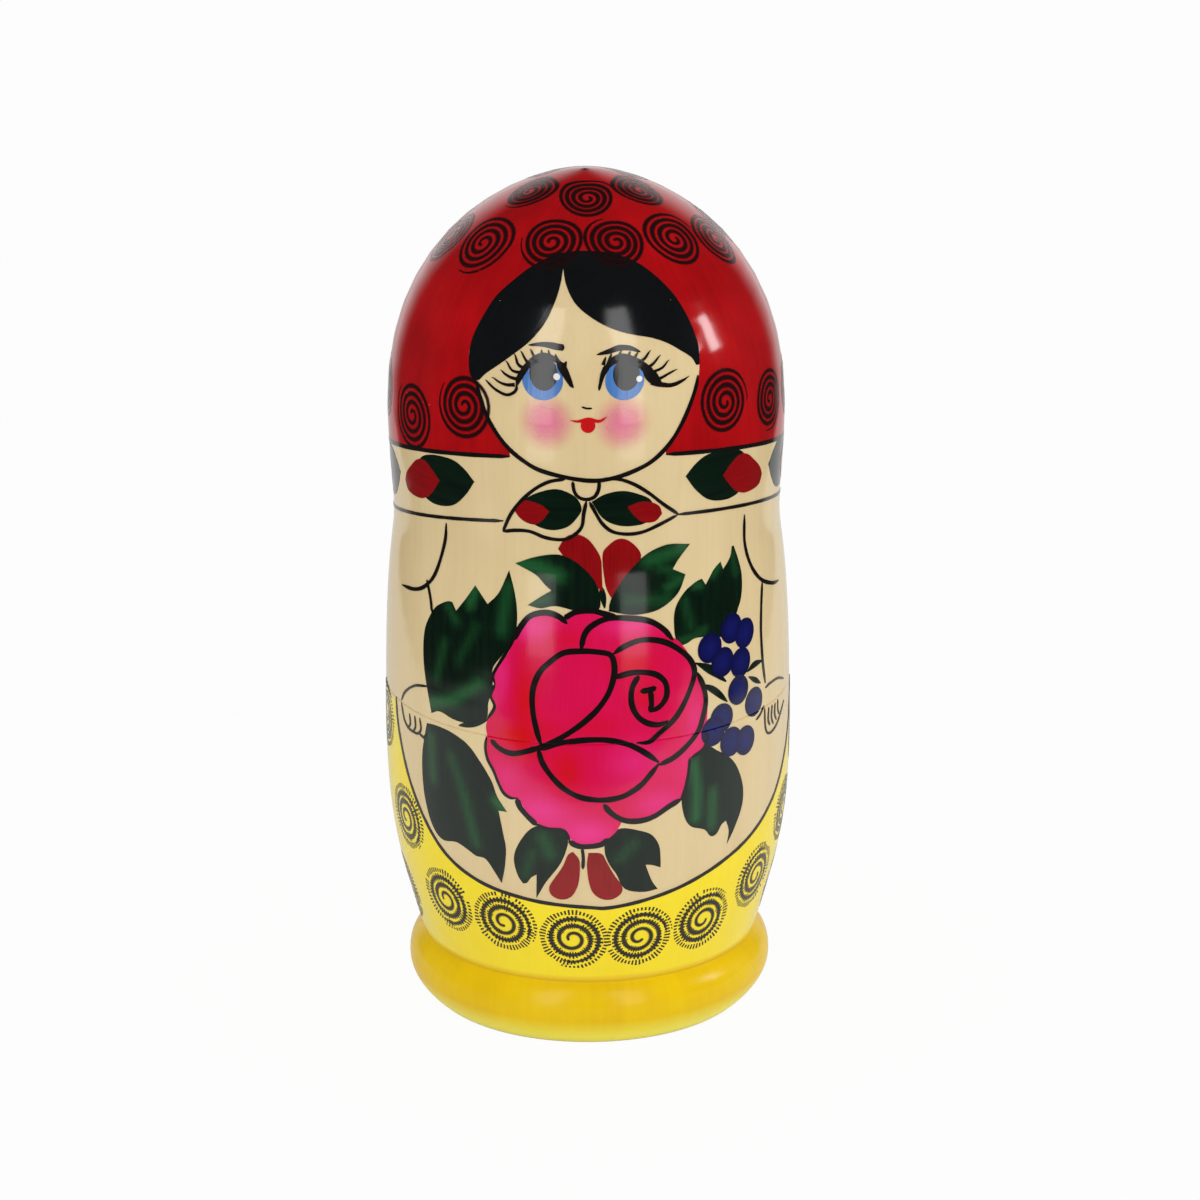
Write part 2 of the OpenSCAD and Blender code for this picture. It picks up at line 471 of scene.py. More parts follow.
def paint(name, colour, deep, streaks=0.5, mottle=0.4, length=1.2, fineness=26, washed=(), thin=None, gloss=LACQUER):
    """Dye or tempera under lacquer: streaks along the brush, uneven depth, and the lacquer's slow ripple.

    Where the wash is above or below nothing the two washed colours come in; thin ink fades with the wash."""
    dye = Finish(name, gloss)
    brush = dye.node("UVMap", {"uv_map": "brush"}, {})
    place = dye.node("TexCoord", {}, {}, 3)
    bristles = dye.ramp(dye.noise(brush, (length, fineness, 1), 4), 0.32, 0.72)
    pools = dye.ramp(dye.noise(place, DYE_POOLS, 2), 0.3, 0.7)
    shade = bristles * streaks + pools * mottle
    hue = dye.blend(shade, srgb(*colour), srgb(*deep))
    wash = dye.node("Attribute", {"attribute_name": "wash"}, {}, 2)
    for tint, way in zip(washed, (1, -1)):
        hue = dye.blend(dye.ramp(wash * way, 0, 1), hue, srgb(*tint))
    if thin:
        dye.give(dye.shader, {"Alpha": dye.ramp(wash + bristles * 0.12, 0.02, 0.62) * thin})
    dye.give(dye.shader, {"Base Color": hue,
                          "Normal": dye.bump(dye.noise(place, LACQUER_RIPPLE, 1) + bristles * 0.03, RIPPLE_DEPTH)})
    return dye


def hem(angle):
    return 124.4 - 8.75 * (1 - math.cos(angle)) + 0.3 * math.sin(angle)


def round_the_back(line, left, right):
    """Two lines on the belt that start left and right of the face and meet at the back."""
    return [[(BELT * angle, line(angle)) for angle in [start + (end - start) * i / 60 for i in range(61)]]
            for start, end in ((left, -math.pi), (right, math.pi))]


def on_belt(points):
    return [(u / outer.radius(v) * BELT, v) for u, v in points]


def band(low, high, half):
    """The edge of a band right round the doll."""
    return [(math.pi * BELT * (i / half - 1), v) for v, order in ((low, 1), (high, -1))
            for i in range(2 * half + 1)[::order]]


def spiral(reach, turns, start, inner=0.35, per_turn=26):
    """A spiral path drawn from its eye outwards, a little closer towards its end."""
    count = round(turns * per_turn)
    return [(r * math.cos(a), r * math.sin(a)) for r, a in
            ((inner + (reach - inner) * (i / count) ** 0.92, start - math.tau * turns * i / count)
             for i in range(count + 1))]


red_dye = paint("kerchief_red", (186, 9, 16), (146, 3, 9), streaks=0.3, mottle=0.6, length=0.5, fineness=8)
scarf_ink = paint("spiral_ink_on_red", (26, 9, 11), (40, 8, 10), streaks=0.6, thin=0.94)
scarf_tip = paint("tip_black", (30, 14, 16), (44, 12, 14))
ink = paint("black_line", (12, 9, 10), (24, 18, 16))

FACE_LEFT = [(-15, 125.1), (-17.4, 127.5), (-19.5, 130.5), (-21.5, 135), (-22.3, 138)]
HAIR_EDGE = [
    (-23.5, 138), (-24, 141), (-23.3, 145), (-21, 149.5), (-18, 154), (-14, 158), (-10, 161.5), (-5, 164.5),
    (0, 165.3), (5, 164.5), (10, 162), (14, 158.5), (18, 154), (21, 149), (23, 144), (23.3, 140)]
FACE_RIGHT = [(22.5, 136), (20, 131), (17, 126.5), (15.6, 125)]
CLOTH_GRID = 1.7
BROAD_LINE, FINE_LINE = 0.85, 0.7
kerchief = Painting("kerchief")
left_hem, right_hem = round_the_back(hem, -0.385, 0.405)
cloth = (left_hem[::-1] + on_belt(flowing(FACE_LEFT + HAIR_EDGE[1:] + FACE_RIGHT, step=1.2)) + right_hem
         + [(math.pi * BELT, v) for v in range(110, 190, 4)]
         + [(math.pi * BELT * (1 - i / 40), CROWN) for i in range(81)]
         + [(-math.pi * BELT, v) for v in range(186, 107, -4)])
kerchief.fill(red_dye, cloth, GROUND, belt=True, grid=CLOTH_GRID)
for side in (left_hem, right_hem):
    kerchief.stroke(ink, side, BROAD_LINE, LINE, belt=True, taper=(0.02, 0), step=2)

SCARF_SPIRALS = [
    (-25, 132, 6.5), (-40.5, 126.5, 7), (29.5, 131.5, 6.5), (45, 128, 6.2), (-6.5, 167, 6.3), (6, 167, 6.1),
    (-23, 163.5, 7), (19.5, 165, 6.6), (0.5, 179, 5.8)]
BACK_LOW = [(angle, 131 - 8 * (1 - math.cos(angle)) + 3.5, 6.4)
            for angle in (-1.5, -1.92, -2.34, -2.76, 3.14, 2.72, 2.3, 1.9, 1.56)]
BACK_HIGH = [(angle, 160.5, 6.4) for angle in (-1.52, -2.03, -2.54, -3.05, 1.36, 1.83, 2.3, 2.77)]
BACK_CROWN = [(angle, 178, 5.6) for angle in (1.2, 2.4, -2.48, -1.2)]
SCARF_SPIRALS += [(angle * outer.radius(v), v, reach) for angle, v, reach in BACK_LOW + BACK_HIGH + BACK_CROWN]
SCARF_TURNS, SCARF_BRUSH = 4.1, (0.85, 1.2, 1.25, 1.15, 0.9)
for u, v, reach in SCARF_SPIRALS:
    kerchief.stroke(scarf_ink, spiral(reach, SCARF_TURNS, rng.uniform(0, 6)), SCARF_BRUSH, SECOND,
                    at=(u, v), taper=(0.02, 0.06), smallest=6, soft=True)
kerchief.fill(scarf_tip, band(CROWN - 0.8, CROWN, 40), SECOND, belt=True, grid=CLOTH_GRID)
kerchief.lay()

# Face. Black hair is filled in down to a parted hairline; the features are drawn on the bare, lacquered
# wood with a fine brush, over two dabs of thin pink for the cheeks.
FACE_LOW = [
    (-22.2, 137.2), (-21.3, 134.6), (-19.5, 130.5), (-16, 126), (-12, 123), (-8, 121.2), (0, 119.7), (5, 120),
    (10, 121.5), (13.5, 123.3), (17, 126.5), (20, 131), (22.2, 135.6), (22.8, 138)]
HAIRLINE_LEFT = [
    (-21.8, 137.4), (-20, 139), (-17, 141.2), (-14, 143.5), (-11, 146), (-8.8, 148.5), (-7.2, 151), (-6, 153.7),
    (-5.2, 156), (-4.6, 158.5), (-4.2, 161.3)]
HAIRLINE_RIGHT = [
    (-3.7, 158), (-2.5, 155), (-1, 153), (1.5, 151), (4, 149.5), (7, 148.2), (10, 147.3), (13, 146.5), (16, 145.2),
    (19, 143.3), (21.5, 141.5), (22.5, 140)]
hair_black = paint("hair_black", (17, 19, 21), (10, 11, 12), streaks=0.7)
iris_blue = paint("iris_blue", (56, 104, 178), (86, 140, 200), streaks=0.6, mottle=0.3)
pupil_black = paint("pupil_black", (15, 16, 20), (28, 29, 34))
eye_white = paint("eye_white", (240, 238, 232), (222, 220, 214))
lip_red = paint("lip_red", (212, 22, 24), (180, 12, 18))
blush = Finish("cheek_pink", LACQUER | {"Base Color": srgb(246, 122, 166)})
faded = blush.node("Attribute", {"attribute_name": "wash"}, {}, 2)
grain = blush.noise(blush.node("TexCoord", {}, {}, 3), (900, 900, 500), 3)
blush.give(blush.shader, {"Alpha": faded * (0.52 + grain * 0.36)})


def oval(u, v, wide, tall, step=0.5):
    count = max(10, math.ceil(math.tau * max(wide, tall) / step))
    return [(u + wide * math.cos(math.tau * i / count), v + tall * math.sin(math.tau * i / count))
            for i in range(count)]


def soft_dab(u, v, end):
    """A round dab that fades smoothly from its middle to its end."""
    return lambda x, y: math.cos(math.pi / 2 * min(1.0, math.hypot(x - u, y - v) / end)) ** 1.6


face = Painting("face")
for u, v in ((-7.5, 131), (7, 130.8)):
    face.fill(blush, oval(u, v, 6.2, 6), GROUND, grid=0.7, wash=soft_dab(u, v, 6.2))
face.fill(hair_black, flowing(HAIR_EDGE + HAIRLINE_RIGHT[::-1] + HAIRLINE_LEFT[::-1], closed=True, corner=70),
          SECOND, brush=60)
face.stroke(ink, FACE_LOW, BROAD_LINE, LINE, taper=(0.04, 0.04))

EYES = [
    ((-8.3, 139.2, 4.0), (-8.1, 140.3, 2.75, 3.25), (-5.5, 139.85, 0.66)),
    ((7.5, 139.0, 3.8), (7.8, 140.2, 2.6, 3.2), (10.3, 139.05, 0.6))]
for (u, v, r), pupil, glint in EYES:
    face.fill(iris_blue, oval(u, v, r, r), SECOND, grid=1.5)
    face.fill(pupil_black, oval(*pupil), LINE, grid=1.5)
    face.fill(eye_white, oval(glint[0], glint[1], glint[2], glint[2], 0.3), TOP + 0.03)

LIDS = [
    ([(-4.5, 142.3), (-6, 143.2), (-8, 143.6), (-9.6, 142.9), (-11, 141.8), (-12, 140.5), (-13, 138.8),
      (-13.4, 137.5)], (0.9, 1.35, 1.35, 1.2, 0.9)),
    ([(3.5, 141), (5, 142.6), (7, 143.4), (10, 142.2), (12, 140.5), (13, 139.3)], (0.9, 1.35, 1.4, 1.6, 1.9)),
    ([(-20, 137.8), (-18, 136.4), (-15.6, 135.6), (-14, 136.2), (-13.4, 137.1), (-13.5, 137.8)], (0.35, 0.6, 0.6)),
    ([(4.2, 142), (3.3, 140.4), (2.8, 138.6), (2.5, 137.3)], (1.3, 1.0, 0.7, 0.5))]
for path, width in LIDS:
    face.stroke(ink, path, width, TOP, step=0.4)
EYE_CORNERS = [
    [(-5.6, 142.8), (-4, 142.4), (-2.8, 139.8), (-2.2, 137.8), (-3, 138.1), (-4.3, 139.9), (-5.2, 141.2)],
    [(10.6, 142), (12.4, 141), (13.8, 139.8), (14.8, 138), (13, 137.7), (11.6, 138.9), (11, 140.4)]]
for edge in EYE_CORNERS:
    face.fill(ink, flowing(edge, closed=True, step=0.3), TOP + 0.01, grid=0.8)
LASHES = [
    [(-18.2, 138.4), (-17, 137.8), (-15.4, 137.5), (-13.8, 137.7)],
    [(-16.4, 140), (-16, 139.6), (-14.6, 139), (-13, 138.8)],
    [(-15.4, 141.8), (-14.6, 140.6), (-13.8, 140.2), (-12.4, 140.1)],
    [(-13.7, 143.3), (-13.2, 141.8), (-12.4, 141.2), (-11.4, 141.1)],
    [(-12.3, 143.9), (-11.8, 143), (-11.2, 142.2), (-10.6, 142)], [(-10.4, 144.4), (-10, 143.6), (-9.4, 143.1)],
    [(-8.4, 144.4), (-8.3, 143.3)], [(-7, 144.4), (-6.7, 143.2)], [(-5.6, 143.7), (-5.2, 142.6)],
    [(-3.8, 142.4), (-4, 141.8)], [(3.7, 143.2), (3.3, 142.1)], [(4.8, 143.8), (4.3, 142.3)],
    [(6.65, 144.3), (5.9, 142.9)], [(8.4, 144), (8, 143.1)], [(9.8, 143.7), (9.2, 142.8)],
    [(12.3, 143.9), (11.4, 142.8), (10.1, 142.1)], [(14.3, 142.8), (13.2, 141.7), (11.9, 140.9)],
    [(16.1, 141.7), (15.1, 140.7), (13.6, 140.2), (12.1, 140)],
    [(17.7, 139.8), (16.2, 139.3), (14.5, 138.7), (13.2, 138.9)]]
for path in LASHES:
    root, tip = Vector(path[-1]), Vector(path[0])
    longer = [tuple(tip + (tip - root).normalized() * 0.5)] + path
    face.stroke(ink, longer, (0.25, 0.5, 0.7), TOP, taper=(0.3, 0), tip=0.2, step=0.35, smallest=5)
face.stroke(ink, [(20.8, 138.2), (19, 137.5), (16.7, 137.1), (14.3, 137.6), (12.7, 138.2)], (0.3, 0.7, 0.95, 1), TOP,
            taper=(0.2, 0), step=0.4)
BROWS = [
    ([(-11, 145.5), (-8, 145.85), (-5, 145.5), (-4, 145.4)], (0.3, 0.9, 1.3, 1.15)),
    ([(2.1, 144.1), (4.3, 144.6), (6.4, 145.2), (8.6, 145), (10.6, 144.1)], (0.35, 0.9, 1.2, 1.0, 0.35))]
for path, width in BROWS:
    face.stroke(ink, path, width, LINE, taper=(0.1, 0.05), step=0.4)
face.stroke(ink, [(-0.8, 134.2), (0.2, 133.9), (1.2, 133.9)], 0.35, LINE, step=0.3, smallest=5)
face.stroke(lip_red, [(-3, 131.6), (-1.5, 131.4), (0.5, 131.8), (2.5, 131.4), (4, 132.2)],
            (0.25, 0.6, 0.7, 0.6, 0.25), LINE, step=0.4)
face.fill(lip_red, oval(0.4, 130.6, 1.4, 1.45, 0.4), LINE)
face.lay()

# Collar. Below the kerchief a band of bare wood is ruled off by a black line and carries rosebuds, each a
# green leaf and a red bud; in front the cloth's two ends are tied in a knot and drawn in black.
leaf_green = paint("leaf_green", (3, 16, 9), (11, 38, 21), mottle=0.1, length=0.7, fineness=9,
                   washed=[(36, 104, 54)])
bud_red = paint("bud_red", (152, 9, 15), (120, 2, 7))


def collar_line(angle):
    return 111.5 - 8.5 * (1 - math.cos(angle)) + 1.2 * math.sin(angle)


collar = Painting("collar")
for side in round_the_back(collar_line, -0.43, 0.47):
    collar.stroke(ink, side, FINE_LINE, LINE, belt=True, taper=(0.02, 0), step=2)
BUD_LEAF = [
    (-10.8, 1.9), (-8.5, 4.1), (-5.5, 5.4), (-0.5, 5.2), (3.5, 3.8), (6, 0.8), (4, -3.6), (1.5, -4.9), (-2, -4.9),
    (-5.5, -3.8), (-8.5, -1.2)]
BUD_BLOOM = [
    (-1.8, 0.2), (0.5, 2.2), (2.8, 3.3), (5.2, 2.8), (7.6, 1), (10, -1.2), (11, -3), (9.8, -4.9), (5.5, -5.2),
    (2.5, -4.2), (0.5, -2.6)]
for angle in (0.79, 1.42, 2.05, 2.68, -0.863, -1.48, -2.1, -2.72):
    side = math.copysign(1, angle)
    middle = (hem(angle) + collar_line(angle)) / 2 + 0.85
    tilt = Matrix.Rotation(-0.22 * (math.sin(abs(angle)) - 0.71), 2)
    for finish, edge, lift in ((leaf_green, BUD_LEAF, GROUND), (bud_red, BUD_BLOOM, SECOND)):
        edge = flowing([tilt @ Vector(p) for p in edge], closed=True)
        collar.fill(finish, [(side * p.x, p.y) for p in edge], lift, at=(angle * BELT, middle), brush=0, smallest=6)
KNOT = [(-2.6, 119.5), (-2.3, 117.5), (-1.5, 116.3), (0, 115.8), (1.5, 116.3), (2.3, 117.7), (2.5, 119.5)]
TIE_ENDS = [
    [(-4, 119.9), (-7, 119.3), (-10, 117.5), (-13, 114.5), (-15, 111.5), (-16.5, 108)],
    [(-16.5, 108), (-14, 108.6), (-11, 108.7), (-8, 107.7), (-5, 107.4), (-3, 108), (-1, 110), (-0.5, 113),
     (0, 115.5)],
    [(3, 119.9), (6, 119.8), (9, 118.6), (12, 116.5), (15, 113.8), (18.2, 111.2)],
    [(0.6, 115.3), (1.5, 113.5), (3, 110.8), (5, 109), (8, 108.3), (11, 108.5), (14, 109.5), (18, 111)]]
for path in [KNOT] + TIE_ENDS:
    collar.stroke(ink, path, FINE_LINE, LINE, taper=(0.05, 0.05), step=0.6)
TIE_LEAVES = [
    [(-0.9, 114), (-2.2, 116.4), (-5.5, 117.8), (-9, 117), (-11.8, 115.3), (-12.6, 113), (-10.4, 110.4),
     (-7, 109.3), (-3.8, 110), (-1.8, 112)],
    [(1, 115.3), (3.6, 116.8), (7, 117.3), (10.3, 116.3), (12.6, 114.8), (13, 112), (11.5, 110.3), (8.5, 109.9),
     (5.5, 110.4), (3, 112)]]
TIE_BLOOMS = [
    [(-7.1, 113.2), (-9, 114.5), (-12.2, 115), (-14.2, 112.8), (-12.6, 111), (-10.3, 110.2), (-8.5, 111.2)],
    [(7.9, 114), (10, 114.7), (12.2, 114.6), (14.2, 113.5), (14.8, 111.8), (13.4, 110.4), (11, 110.5), (9.2, 112)]]
for leaf, bloom in zip(TIE_LEAVES, TIE_BLOOMS):
    collar.fill(leaf_green, flowing(leaf, closed=True), GROUND, brush=0)
    collar.fill(bud_red, flowing(bloom, closed=True), SECOND, brush=0)
collar.lay()

# Arms. The sleeves' cuffs, the forearms and the folded hands are only drawn, in thin black lines on the
# bare wood of the blouse.
SLEEVE_LINE, HAND_LINE = 0.75, 0.5
arms = Painting("arms")
SLEEVES = [
    [(-30, 107), (-30.5, 103), (-33, 96.5), (-36, 93), (-40, 91), (-46, 90)], [(-36, 94), (-34.8, 91), (-34.2, 88)],
    [(35.3, 107), (35.5, 101), (37.5, 96), (41, 92.3), (46, 90), (50, 89.2)],
    [(41.5, 92), (40.8, 87), (40.5, 82), (41, 76), (42, 71)]]
for path in SLEEVES:
    arms.stroke(ink, path, SLEEVE_LINE, LINE, taper=(0.1, 0.15), smallest=6)
HANDS = [
    [(-46, 66.5), (-44, 69), (-40, 71.5), (-35.5, 72.7)], [(42, 70), (44, 70.3), (48, 70), (52, 68.5)],
    [(41.7, 66), (42, 62), (43, 60.3), (45, 60), (48, 61), (52, 64)]]
FINGERS = [
    [(-46, 66), (-44.6, 63), (-43, 61.8), (-42, 63), (-42.3, 65)],
    [(-43, 61.8), (-41, 61.6), (-40, 63), (-40.2, 65.2)], [(-41, 61.6), (-39, 61.9), (-38, 63.2), (-38.4, 65.3)],
    [(-38.6, 62), (-37, 61.6), (-36.2, 62.6)], [(43.5, 65.5), (43.2, 63), (44, 61.6)],
    [(45, 65.5), (44.7, 63), (45.6, 61.3)], [(46.5, 65.4), (46.3, 63.2), (47.2, 61.6)],
    [(48, 65.6), (48, 63.6), (48.8, 62.2)], [(38.5, 64.5), (40, 65.2), (41.5, 66.5)]]
for path in HANDS + FINGERS:
    arms.stroke(ink, path, HAND_LINE, LINE, step=0.5, smallest=4)
arms.lay()

# Bouquet. A large rose with buds above and below it, toothed leaves and a bunch of berries, brushed on the
# apron in thin dyes one over another and outlined in black; it runs on across the seam.
LEAVES = [
    [(-34.5, 67.5), (-36.5, 75), (-37, 80), (-36.5, 84), (-35, 87), (-33, 89.5), (-30, 91.3), (-28.5, 91.5),
     (-27.5, 90), (-25, 93), (-22.8, 96), (-20, 92.8), (-17.5, 95.5), (-15.3, 100.2), (-14.2, 96), (-13.7, 92),
     (-14, 88), (-15, 86), (-17, 83), (-19, 80), (-19, 76), (-20, 73), (-20.5, 69.5), (-24, 68), (-28, 67.8),
     (-32, 68.5)],
    [(-36, 65), (-33, 65.3), (-29, 65), (-25, 63.5), (-22, 60.5), (-19.5, 57), (-18.3, 54), (-16.2, 51), (-18, 51),
     (-17, 46), (-16.5, 43), (-16.8, 39), (-17.5, 35.3), (-19, 37.5), (-21, 40), (-23.2, 40.2), (-25, 41),
     (-28, 42), (-32, 41.5), (-35, 44), (-37, 49), (-37.7, 54), (-37.5, 59)],
    [(18, 84.5), (17.3, 88), (17.5, 92), (19.5, 95), (22, 96.5), (23.6, 96.9), (24.5, 95.5), (26.5, 98),
     (28.3, 99.2), (29, 97.5), (31, 99.5), (31.5, 101.5), (32, 101.5), (33.3, 98.5), (34.3, 95), (34, 91),
     (32.5, 88), (31.5, 85.5), (29, 84.3), (26, 85), (22, 85.5), (20, 84.8)],
    [(24.5, 63.5), (27, 61.5), (30, 59.5), (32.5, 56.5), (34.2, 52), (34, 48), (32, 44), (29.8, 40.8), (30.3, 43.5),
     (29.5, 46), (28.3, 45.5), (27, 43.8), (25.5, 43.7), (24, 45.5), (21, 46.8), (19.5, 49), (18.8, 53), (19.5, 57),
     (20.5, 60.5), (22.5, 62.5)],
    [(-8, 49.3), (-11, 48.3), (-13, 46), (-14.5, 43), (-14.8, 40.5), (-14, 37.5), (-13, 36), (-12.2, 36.2),
     (-11.3, 37.5), (-10.2, 38.3), (-10.3, 33), (-8.5, 36.5), (-7.5, 38), (-5.5, 41), (-4.3, 44), (-4, 46.5),
     (-5.5, 48.5)],
    [(3.3, 46.3), (5, 48), (7, 48.5), (10, 47.7), (12.5, 46.5), (14, 44), (14.3, 41), (14.3, 39.2), (12.5, 40),
     (11.2, 40.2), (12.5, 36.5), (13.7, 34.5), (11, 34.2), (8, 34.8), (6.5, 36), (5.5, 38.5), (4, 41), (3.2, 43.5)],
    [(-14, 101.8), (-10, 103.5), (-6, 104.3), (-3, 103.5), (0, 101), (2, 98), (2.6, 94.5), (2, 93), (-2, 93.2),
     (-6, 94), (-9, 93.4), (-11.5, 93.8), (-9, 95.6), (-6.8, 97), (-8, 98), (-10, 100)],
    [(20.8, 104.5), (16, 105.2), (12, 104), (9, 101.5), (6.5, 98.5), (4.5, 95), (4.2, 93), (9, 92), (14, 92.5),
     (18, 95), (19.8, 98.5), (17, 100), (18.4, 102)]]
STREAKS = [
    ((-34.5, 69.5), (-28, 72), 1.7, 0.8), ((-28, 72), (-22, 76.5), 1.7, 0.7), ((-33, 75), (-30.5, 83), 1.4, 0.35),
    ((-17, 88), (-15.6, 97), 1.7, 0.5), ((-24, 92), (-22.8, 95.5), 1.4, 0.8),
    ((-29.5, 90.5), (-27.5, 88), 1.5, 0.4), ((-27, 80), (-22.5, 88), 1.3, 0.25),
    ((-34.8, 62.5), (-34.2, 54), 1.6, 0.55), ((-29, 60), (-26, 53), 1.6, 0.4), ((-26, 53), (-23.2, 43), 1.6, 0.5),
    ((-18.5, 53), (-16.8, 51.2), 1.5, 0.9), ((21.5, 60), (22.3, 54), 1.6, 0.9), ((22.3, 54), (22, 48.5), 1.6, 0.9),
    ((26, 53), (25.8, 46), 1.6, 0.7), ((19.5, 93.5), (21, 88), 1.3, 0.3), ((22, 96), (23.2, 95.8), 1.2, 0.6),
    ((26, 97), (28, 98.6), 1.2, 0.5), ((31.5, 100), (32.5, 96), 1.2, 0.35), ((19, 85.5), (24, 86.5), 1.2, 0.45),
    ((-9, 46.5), (-7.5, 43), 2, 0.5), ((-12.5, 38), (-11, 43), 1.4, 0.35), ((9, 45), (6, 42), 1.6, 0.35),
    ((-13, 101.8), (-9, 101.5), 2, 0.9), ((-9, 101.5), (-5.5, 100), 2, 0.8),
    ((-10.5, 94.5), (-7.5, 95.5), 1.5, 0.6), ((12, 102.5), (19.5, 104), 1.9, 0.7),
    ((14, 101), (17, 99.5), 1.4, 0.4), ((16, 96.5), (19, 98), 1.4, 0.6), ((8, 95), (16, 94), 1.6, 0.4)]


def streaked(x, y):
    """How much of the lighter green lies at a place on the leaves."""
    most = 0.0
    for start, end, wide, strength in STREAKS:
        near, far = Vector(start), Vector(end)
        share = max(0.0, min(1.0, (Vector((x, y)) - near).dot(far - near) / (far - near).length_squared))
        away = (near + (far - near) * share - Vector((x, y))).length
        most = max(most, 0.8 * strength * math.exp(-(away / wide / 0.75) ** 2))
    return most


bouquet = Painting("bouquet")
for edge, lift in zip(LEAVES, [GROUND] * 6 + [LINE] * 2):
    bouquet.fill(leaf_green, flowing(edge, closed=True), lift, grid=1.1, wash=streaked)
THIN_LEAVES = [
    ([(22, 80.5), (25.5, 78.4), (29.5, 75)], 1.7), ([(23.6, 75.8), (26.6, 73.8), (29.8, 70.8)], 1.5),
    ([(35.5, 75.3), (38, 76.1), (41, 76)], 1.3), ([(36, 74.2), (38, 73), (40.2, 71.6)], 1.1),
    ([(-27, 66.9), (-23.5, 68), (-20, 69.6)], 1.4), ([(2.6, 98.2), (3, 96.4), (3.4, 93.6)], 1.3)]
for path, width in THIN_LEAVES:
    bouquet.stroke(leaf_green, path, width, GROUND, taper=(0.5, 0.5), tip=0.15, step=0.5, smallest=6)

rose_pink = paint("rose_pink", (222, 12, 84), (212, 6, 66), washed=[(214, 8, 22), (238, 48, 140)])
REDDER = [
    (-12.5, 75, 2.8, 9, 1), (-14.5, 67, 4, 2, 1), (-4, 87.4, 4, 2, 0.6), (-4, 60.5, 3.4, 5, 0.9),
    (9, 82.4, 5, 2.3, 0.8), (2, 70, 4.5, 2.2, 0.5), (11.5, 75.5, 3, 3, 0.7), (-11, 63.5, 4, 1.5, 0.5),
    (-7.5, 69, 2.5, 2.5, 0.5)]
PINKER = [
    (-11, 89.5, 5, 3, 0.9), (-17, 79, 3, 6, 0.6), (-9, 52, 6, 3.5, 0.9), (0, 47.5, 5, 2.8, 1), (-16, 58, 4, 4, 0.5),
    (9, 62, 5, 4, 0.5), (14, 53, 5, 2.8, 0.7), (9, 90, 5, 1.8, 0.8), (22, 69, 2.5, 6, 0.5), (20, 60, 4, 4, 0.35)]


def petals(x, y):
    """Where the rose is brushed redder, above nothing, or pinker, below nothing."""
    red, pink = (sum(share * math.exp(-((x - u) / wide) ** 2 - ((y - v) / tall) ** 2)
                     for u, v, wide, tall, share in dabs) for dabs in (REDDER, PINKER))
    return max(-1.0, min(1.0, red - pink))


TOP_BUDS = [
    [(-5.5, 105.5), (-4, 108), (-2, 108.6), (0, 107.8), (1.5, 106), (2.7, 103.5), (2.9, 100), (3, 97), (0, 99),
     (-3, 102)],
    [(3, 104), (4, 106), (6, 107.4), (8, 107), (10, 105), (10.5, 103), (9, 100), (7, 97), (5, 95), (3.6, 98)]]
LOW_BUDS = [
    [(-3, 43.7), (-4, 43), (-5, 40.5), (-6.5, 38), (-7.7, 35.8), (-7.3, 34), (-5.5, 33.1), (-3.5, 33.7), (-2.2, 36),
     (-1.7, 39), (-1.8, 42)],
    [(0, 43.5), (2.5, 43.3), (3.5, 41.5), (5, 38.5), (6.5, 36), (6.3, 34.3), (4.5, 33.1), (2.5, 33.3), (0.8, 34.8),
     (0, 37.5), (-0.3, 41)]]
for edge in TOP_BUDS + LOW_BUDS:
    bouquet.fill(bud_red, flowing(edge, closed=True), SECOND)
ROSE = [
    (-14, 87.5), (-12.5, 90), (-10, 92), (-7, 92.3), (-4.5, 91.2), (-3, 92.3), (0, 92.8), (3, 92.5), (5, 91.6),
    (8, 91.5), (11, 91), (14, 89.3), (16.5, 87), (18.5, 85.3), (20.5, 82.5), (21.7, 79.5), (23.3, 77), (24.3, 74),
    (24.7, 71), (24.5, 68), (24, 66), (24.8, 64.5), (23.5, 62.5), (21, 61.5), (20.3, 60), (20, 57), (19.3, 54.5),
    (18.5, 53), (15.5, 51.5), (12, 50.2), (9, 49.6), (6.5, 49.8), (5.3, 47.8), (3.5, 46.3), (1, 45.2), (-1.5, 45.2),
    (-3.3, 46.3), (-4.3, 48), (-5, 48.5), (-8, 48.6), (-10, 49.5), (-12, 51.5), (-13.5, 53.8), (-14, 54.3),
    (-15.5, 54.2), (-17, 55), (-18, 57), (-19, 59.5), (-20.3, 61.5), (-20.6, 64), (-20.3, 66), (-20.5, 68.5),
    (-19.3, 71), (-18.5, 73), (-19.4, 75), (-18.5, 77), (-18.8, 78.5), (-17.5, 81), (-15.5, 84)]
bouquet.fill(rose_pink, flowing(ROSE, closed=True), SECOND, grid=1.3, wash=petals)
